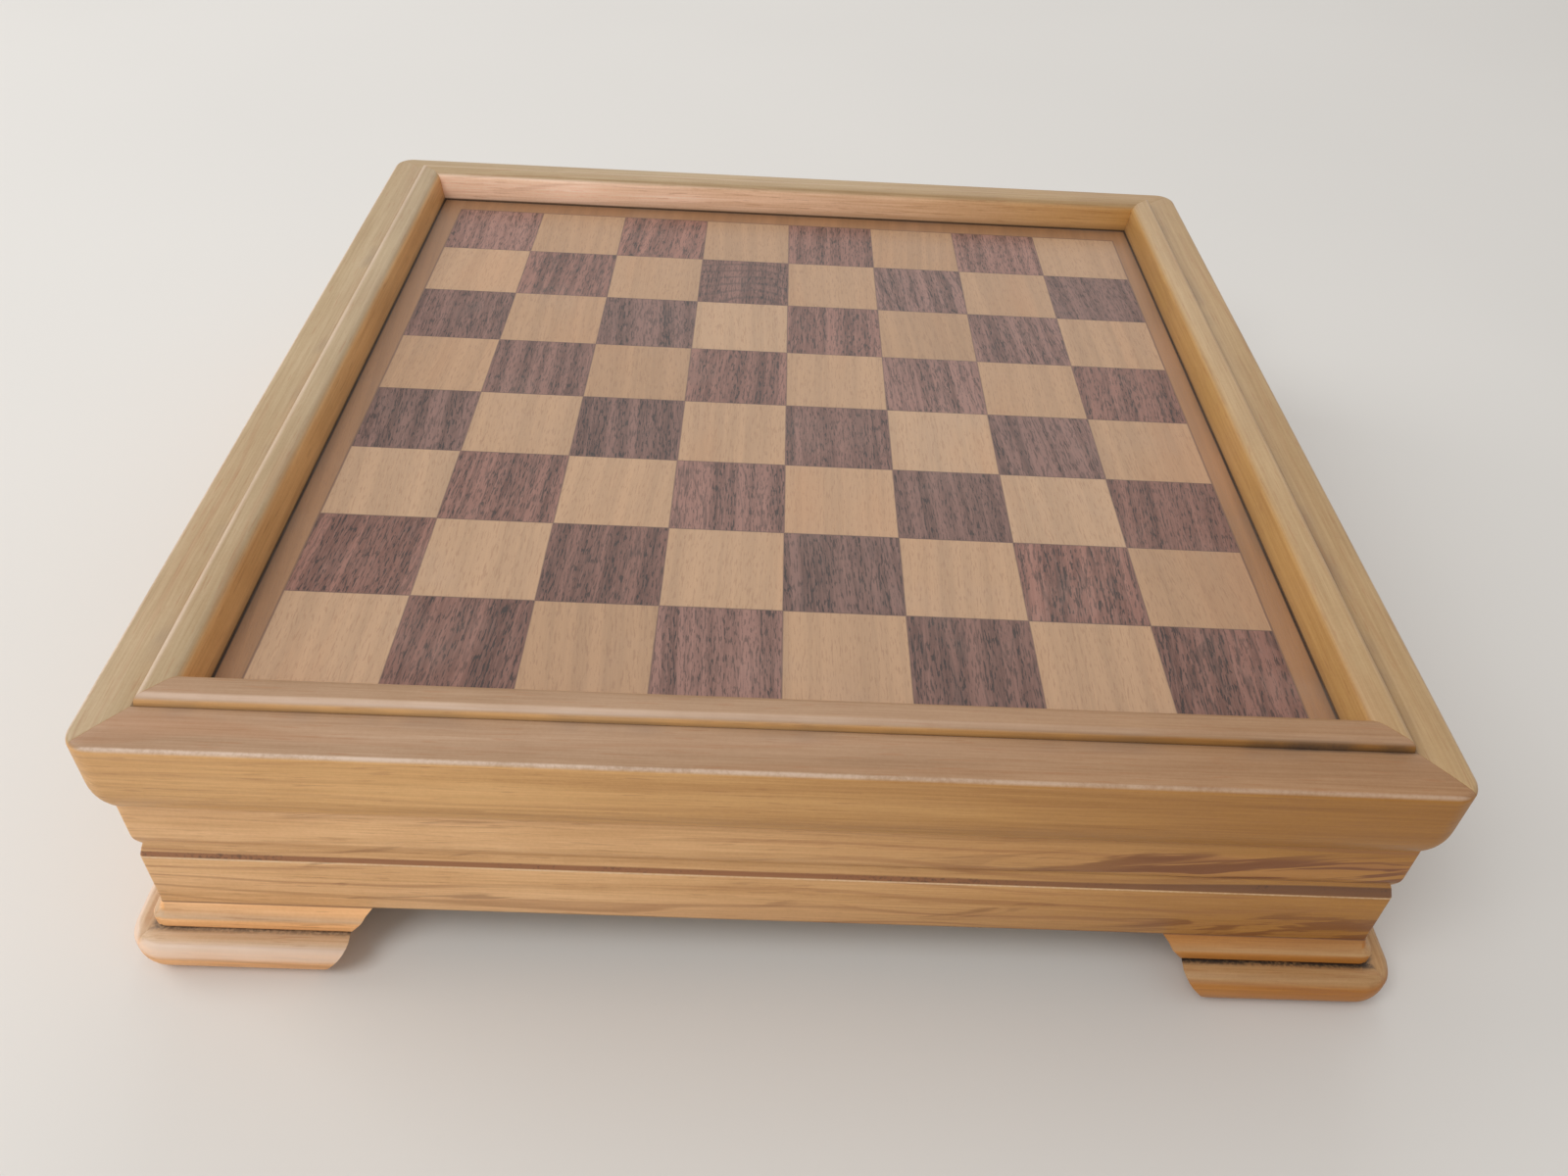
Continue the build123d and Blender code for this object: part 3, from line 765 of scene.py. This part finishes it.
def felt_sheet(side):
    """Felt laid on a drawer's bottom, its edge a little uneven."""
    low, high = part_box("drawer_" + side + "_felt")
    shape = bmesh.new()
    bmesh.ops.create_grid(shape, x_segments=FELT_CELLS[0], y_segments=FELT_CELLS[1], size=0.5)
    size = high - low
    bmesh.ops.scale(shape, vec=(size.x, size.y, 1.0), verts=shape.verts)
    bmesh.ops.translate(shape, vec=(low + high) / 2, verts=shape.verts)
    thickness = 0.7 * size.z
    for vert in shape.verts:
        wave = sin(vert.co.x * 170.0) * sin(vert.co.y * 130.0 + vert.co.x * 60.0)
        vert.co.z = low.z + thickness + FELT_WAVE * (1.0 + wave)
    bmesh.ops.solidify(shape, geom=shape.faces[:], thickness=thickness)
    bmesh.ops.recalc_face_normals(shape, faces=shape.faces)
    piece = new_piece("drawer_" + side + "_felt_sheet", shape, felt("felt_" + side))
    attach(piece, DRAWERS[side])
    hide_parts("drawer_" + side + "_felt")


def ball_knob(side):
    """Smooth turned brass knob over the plain one."""
    node = "drawer_" + side + "_knob"
    low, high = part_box(node)
    length = high.x - low.x
    radius = (high.z - low.z) / 2
    start = low.x if side == "right" else high.x
    way = 1.0 if side == "right" else -1.0
    centre_z = (low.z + high.z) / 2
    shape = bmesh.new()
    verts = [
        shape.verts.new((start + way * run * length, 0.0, centre_z + share * radius))
        for run, share in KNOB_OUTLINE
    ]
    edges = [shape.edges.new(pair) for pair in zip(verts, verts[1:])]
    bmesh.ops.spin(
        shape, geom=verts + edges, cent=(0.0, 0.0, centre_z), axis=(1.0, 0.0, 0.0),
        angle=radians(360), steps=KNOB_STEPS, use_merge=True, use_duplicate=False,
    )
    bmesh.ops.remove_doubles(shape, verts=shape.verts, dist=SAME_PLACE)
    bmesh.ops.holes_fill(shape, edges=[edge for edge in shape.edges if edge.is_boundary], sides=0)
    bmesh.ops.recalc_face_normals(shape, faces=shape.faces)
    piece = new_piece(node + "_turned", shape, brass("brass_" + side))
    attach(piece, DRAWERS[side])
    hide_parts(node)


# ---------------------------------------------------------------- stage
LAMPS = (  # name, place, size of its square, and the setting that holds its power
    ("window_lamp", (-0.85, -0.95, 1.65), 0.9, "window"),
    ("side_lamp", (-1.9, 0.5, 1.3), 1.2, "side"),
    ("back_lamp", (0.1, 1.7, 1.5), 1.6, "back"),
)
SKY_TONE = (1.0, 0.985, 0.965, 1.0)
FLOOR_HALF = 4.0
SENSOR_WIDTH = 36.0
NEAREST_SEEN = 0.02


# ---------------------------------------------------------------- operators
class CHESSBOX_OT_frame(bpy.types.Operator):
    """Finish the four moulded rails of the frame"""

    bl_idname = "chessbox.frame"
    bl_label = "Frame"

    # Painted light on each rail: its top and its side towards the board are tinted; the inner sides
    # of the right and back rails are painted lighter and the top of the front rail darker.
    light_tints = {
        "front": ((0.88, 0.75, 0.76), (1.0, 1.0, 1.0)),
        "right": ((1.0, 1.0, 1.0), (1.3, 1.7, 3.6)),
        "back": ((1.0, 1.0, 1.0), (1.6, 2.0, 3.8)),
        "left": ((1.0, 1.0, 1.0), (1.0, 1.0, 1.0)),
    }

    def execute(self, context):
        for seed, side in enumerate(SIDES):
            along = "X" if side in ("front", "back") else "Y"
            top_tint, inner_light_tint = self.light_tints[side]
            wood = honey_wood(
                "frame_wood_" + side, along, 3.1 + seed, frame_marks, 0.25,
                top_tint=top_tint, inner_light_tint=inner_light_tint,
            )
            eased("frame_" + side, CASE, wood)
        return {"FINISHED"}


class CHESSBOX_OT_walls(bpy.types.Operator):
    """Finish the walls, the corner stiles and the drawer fronts"""

    bl_idname = "chessbox.walls"
    bl_label = "Walls"

    tint = (1.14, 1.20, 1.45)

    def execute(self, context):
        for seed, side in enumerate(("front", "back")):
            wood = honey_wood(
                "wall_wood_" + side, "X", 11.3 + seed, wall_marks, 0.7, 0.85,
                face_tint=self.tint,
            )
            eased(side + "_panel", CASE, wood)
        for seed, side in enumerate(("left", "right")):
            wood = honey_wood(
                "side_wood_" + side, "Y", 17.7 + seed, wall_marks, 0.6, face_tint=self.tint
            )
            eased("stile_front_" + side, CASE, wood)
            eased("stile_back_" + side, CASE, wood)
            eased("drawer_" + side + "_front", DRAWERS[side], wood)
        return {"FINISHED"}


class CHESSBOX_OT_feet(bpy.types.Operator):
    """Finish the bracket feet and their glue blocks"""

    bl_idname = "chessbox.feet"
    bl_label = "Feet"

    # Painted light: the left foot's tops and faces made lighter, the right foot's warmer.
    light_tints = {"left": (1.3, 1.22, 1.3), "right": (1.12, 1.0, 0.9)}

    def execute(self, context):
        seed, seed_step = 23.0, 1.7
        for end in ("front", "back"):
            for side in ("left", "right"):
                for face in (end, "side"):
                    seed += seed_step
                    node = "foot_" + end + "_" + side + "_" + face
                    along = "Y" if face == "side" else "X"
                    wood = honey_wood(
                        node + "_wood", along, seed, foot_marks, 0.45,
                        top_tint=self.light_tints[side], face_tint=self.light_tints[side],
                    )
                    eased(node, CASE, wood, on_foot_bead)
        inside = context.scene.chess_wood.inside
        finished("foot_blocks", raw_wood("block_wood", "X", 40.0, inside))
        return {"FINISHED"}


class CHESSBOX_OT_board(bpy.types.Operator):
    """Finish the inlaid board and what carries it"""

    bl_idname = "chessbox.board"
    bl_label = "Board"

    right_strip_tint = (0.90, 0.85, 0.75)

    def execute(self, context):
        board = context.scene.chess_board
        inside = context.scene.chess_wood.inside
        finished("light_squares", veneer("light_veneer", board.light, 1.0))
        finished("dark_squares", veneer("dark_veneer", board.dark, 2.0, dark=True))
        for seed, side in enumerate(SIDES):
            tint = self.right_strip_tint if side == "right" else UNTINTED
            tone = tinted(board.border, tint)
            strip = veneer("border_veneer_" + side, tone, 5.0 + seed, squares=False)
            finished("border_" + side, strip)
        low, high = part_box("board_core")
        finished("board_core", plywood("core_plywood", low.z, high.z, 51.0, inside))
        finished("backing_veneer", raw_wood("backing_wood", "Y", 52.0, inside))
        for seed, side in enumerate(SIDES):
            along = "X" if side in ("front", "back") else "Y"
            finished("cleat_" + side, raw_wood("cleat_wood_" + side, along, 60.0 + seed, inside))
        return {"FINISHED"}


class CHESSBOX_OT_case(bpy.types.Operator):
    """Finish the bottom, the partition and the drawer guides"""

    bl_idname = "chessbox.case"
    bl_label = "Inside of the case"

    def execute(self, context):
        inside = context.scene.chess_wood.inside
        low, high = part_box("bottom_panel")
        finished("bottom_panel", plywood("bottom_plywood", low.z, high.z, 70.0, inside))
        finished("centre_partition", raw_wood("partition_wood", "Y", 71.0, inside))
        guide = raw_wood("guide_wood", "X", 72.0, inside)
        for end in ("front", "back"):
            for side in ("left", "right"):
                finished("guide_" + end + "_" + side, guide)
        brads = steel("brad_steel")
        finished("bottom_brads", brads)
        finished("cleat_brads", brads)
        return {"FINISHED"}


class CHESSBOX_OT_drawers(bpy.types.Operator):
    """Finish the drawer boxes, their felt and their knobs"""

    bl_idname = "chessbox.drawers"
    bl_label = "Drawers"

    def execute(self, context):
        inside = context.scene.chess_wood.inside
        for seed, side in enumerate(("left", "right")):
            node = "drawer_" + side
            sides = raw_wood(node + "_wood", "X", 80.0 + seed, inside)
            back = raw_wood(node + "_back_wood", "Y", 84.0 + seed, inside)
            low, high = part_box(node + "_bottom")
            for part in ("_side_a", "_side_b"):
                eased(node + part, node, sides)
            eased(node + "_back", node, back)
            bottom = plywood(node + "_plywood", low.z, high.z, 88.0 + seed, inside)
            finished(node + "_bottom", bottom)
            finished(node + "_knob_stud", steel(node + "_stud_steel"))
            felt_sheet(side)
            ball_knob(side)
        return {"FINISHED"}


class CHESSBOX_OT_stage(bpy.types.Operator):
    """Add the floor, the lamps and the camera"""

    bl_idname = "chessbox.stage"
    bl_label = "Stage"

    def execute(self, context):
        stage = context.scene.chess_stage
        self.add_floor(stage)
        for name, place, size, power in LAMPS:
            self.add_lamp(name, place, size, getattr(stage, power))
        self.add_camera(context, stage)
        world = bpy.data.worlds.new("studio")
        world.use_nodes = True
        background = world.node_tree.nodes["Background"]
        background.inputs["Color"].default_value = SKY_TONE
        background.inputs["Strength"].default_value = stage.sky
        context.scene.world = world
        context.scene.view_settings.view_transform = "Standard"
        return {"FINISHED"}

    def add_floor(self, stage):
        """A flat sheet of pale paper."""
        finish = Finish("floor_paper")
        cloud = finish.noise((3.0, 3.0, 3.0), 2.0, 0.5)
        body = finish.mixed(cloud, shade(stage.floor, 0.97), shade(stage.floor, 1.03))
        material = finish.shaded(body, 0.9, specular=0.2)
        shape = bmesh.new()
        bmesh.ops.create_grid(shape, x_segments=1, y_segments=1, size=FLOOR_HALF)
        floor = new_piece("floor", shape, material)

    def add_lamp(self, name, place, size, power):
        """A soft square lamp aimed at the box."""
        lamp = bpy.data.lights.new(name, "AREA")
        lamp.shape = "SQUARE"
        lamp.size = size
        lamp.energy = power
        holder = bpy.data.objects.new(name, lamp)
        holder.location = place
        holder.rotation_euler = (-Vector(place)).to_track_quat("-Z", "Y").to_euler()
        bpy.context.scene.collection.objects.link(holder)

    def add_camera(self, context, stage):
        """Camera from pitch, yaw and roll: first level and facing +Y, then turned."""
        forward = Vector((
            sin(stage.yaw) * cos(stage.pitch), cos(stage.yaw) * cos(stage.pitch), -sin(stage.pitch)
        ))
        level = forward.cross(Vector((0.0, 0.0, 1.0))).normalized()
        upright = level.cross(forward)
        right = cos(stage.roll) * level + sin(stage.roll) * upright
        up = cos(stage.roll) * upright - sin(stage.roll) * level
        lens = bpy.data.cameras.new("camera")
        lens.lens = stage.lens
        lens.sensor_width = SENSOR_WIDTH
        lens.clip_start = NEAREST_SEEN
        camera = bpy.data.objects.new("camera", lens)
        turn = Matrix((right, up, -forward)).transposed().to_4x4()
        camera.matrix_world = Matrix.Translation(Vector(stage.camera_place)) @ turn
        context.scene.collection.objects.link(camera)
        context.scene.camera = camera


class CHESSBOX_PT_panel(bpy.types.Panel):
    """Sidebar panel with every piece of the box"""

    bl_idname = "CHESSBOX_PT_panel"
    bl_label = "Chess box"
    bl_space_type = "VIEW_3D"
    bl_region_type = "UI"
    bl_category = "Chess box"

    def draw(self, context):
        for group in ("chess_board", "chess_wood", "chess_fittings", "chess_stage"):
            settings = getattr(context.scene, group)
            box = self.layout.box()
            for name in settings.__annotations__:
                box.prop(settings, name)
        for operator in OPERATORS:
            self.layout.operator(operator.bl_idname)


SETTINGS = {
    "chess_board": BoardSettings,
    "chess_wood": WoodSettings,
    "chess_fittings": FittingSettings,
    "chess_stage": StageSettings,
}
OPERATORS = (
    CHESSBOX_OT_frame,
    CHESSBOX_OT_walls,
    CHESSBOX_OT_feet,
    CHESSBOX_OT_board,
    CHESSBOX_OT_case,
    CHESSBOX_OT_drawers,
    CHESSBOX_OT_stage,
)


def register():
    for name, group in SETTINGS.items():
        bpy.utils.register_class(group)
        setattr(bpy.types.Scene, name, PointerProperty(type=group))
    for operator in OPERATORS:
        bpy.utils.register_class(operator)
    bpy.utils.register_class(CHESSBOX_PT_panel)


def unregister():
    bpy.utils.unregister_class(CHESSBOX_PT_panel)
    for operator in reversed(OPERATORS):
        bpy.utils.unregister_class(operator)
    for name, group in reversed(SETTINGS.items()):
        delattr(bpy.types.Scene, name)
        bpy.utils.unregister_class(group)


def main():
    register()
    bpy.ops.chessbox.frame()
    bpy.ops.chessbox.walls()
    bpy.ops.chessbox.feet()
    bpy.ops.chessbox.board()
    bpy.ops.chessbox.case()
    bpy.ops.chessbox.drawers()
    bpy.ops.chessbox.stage()


if __name__ == "__main__":
    main()
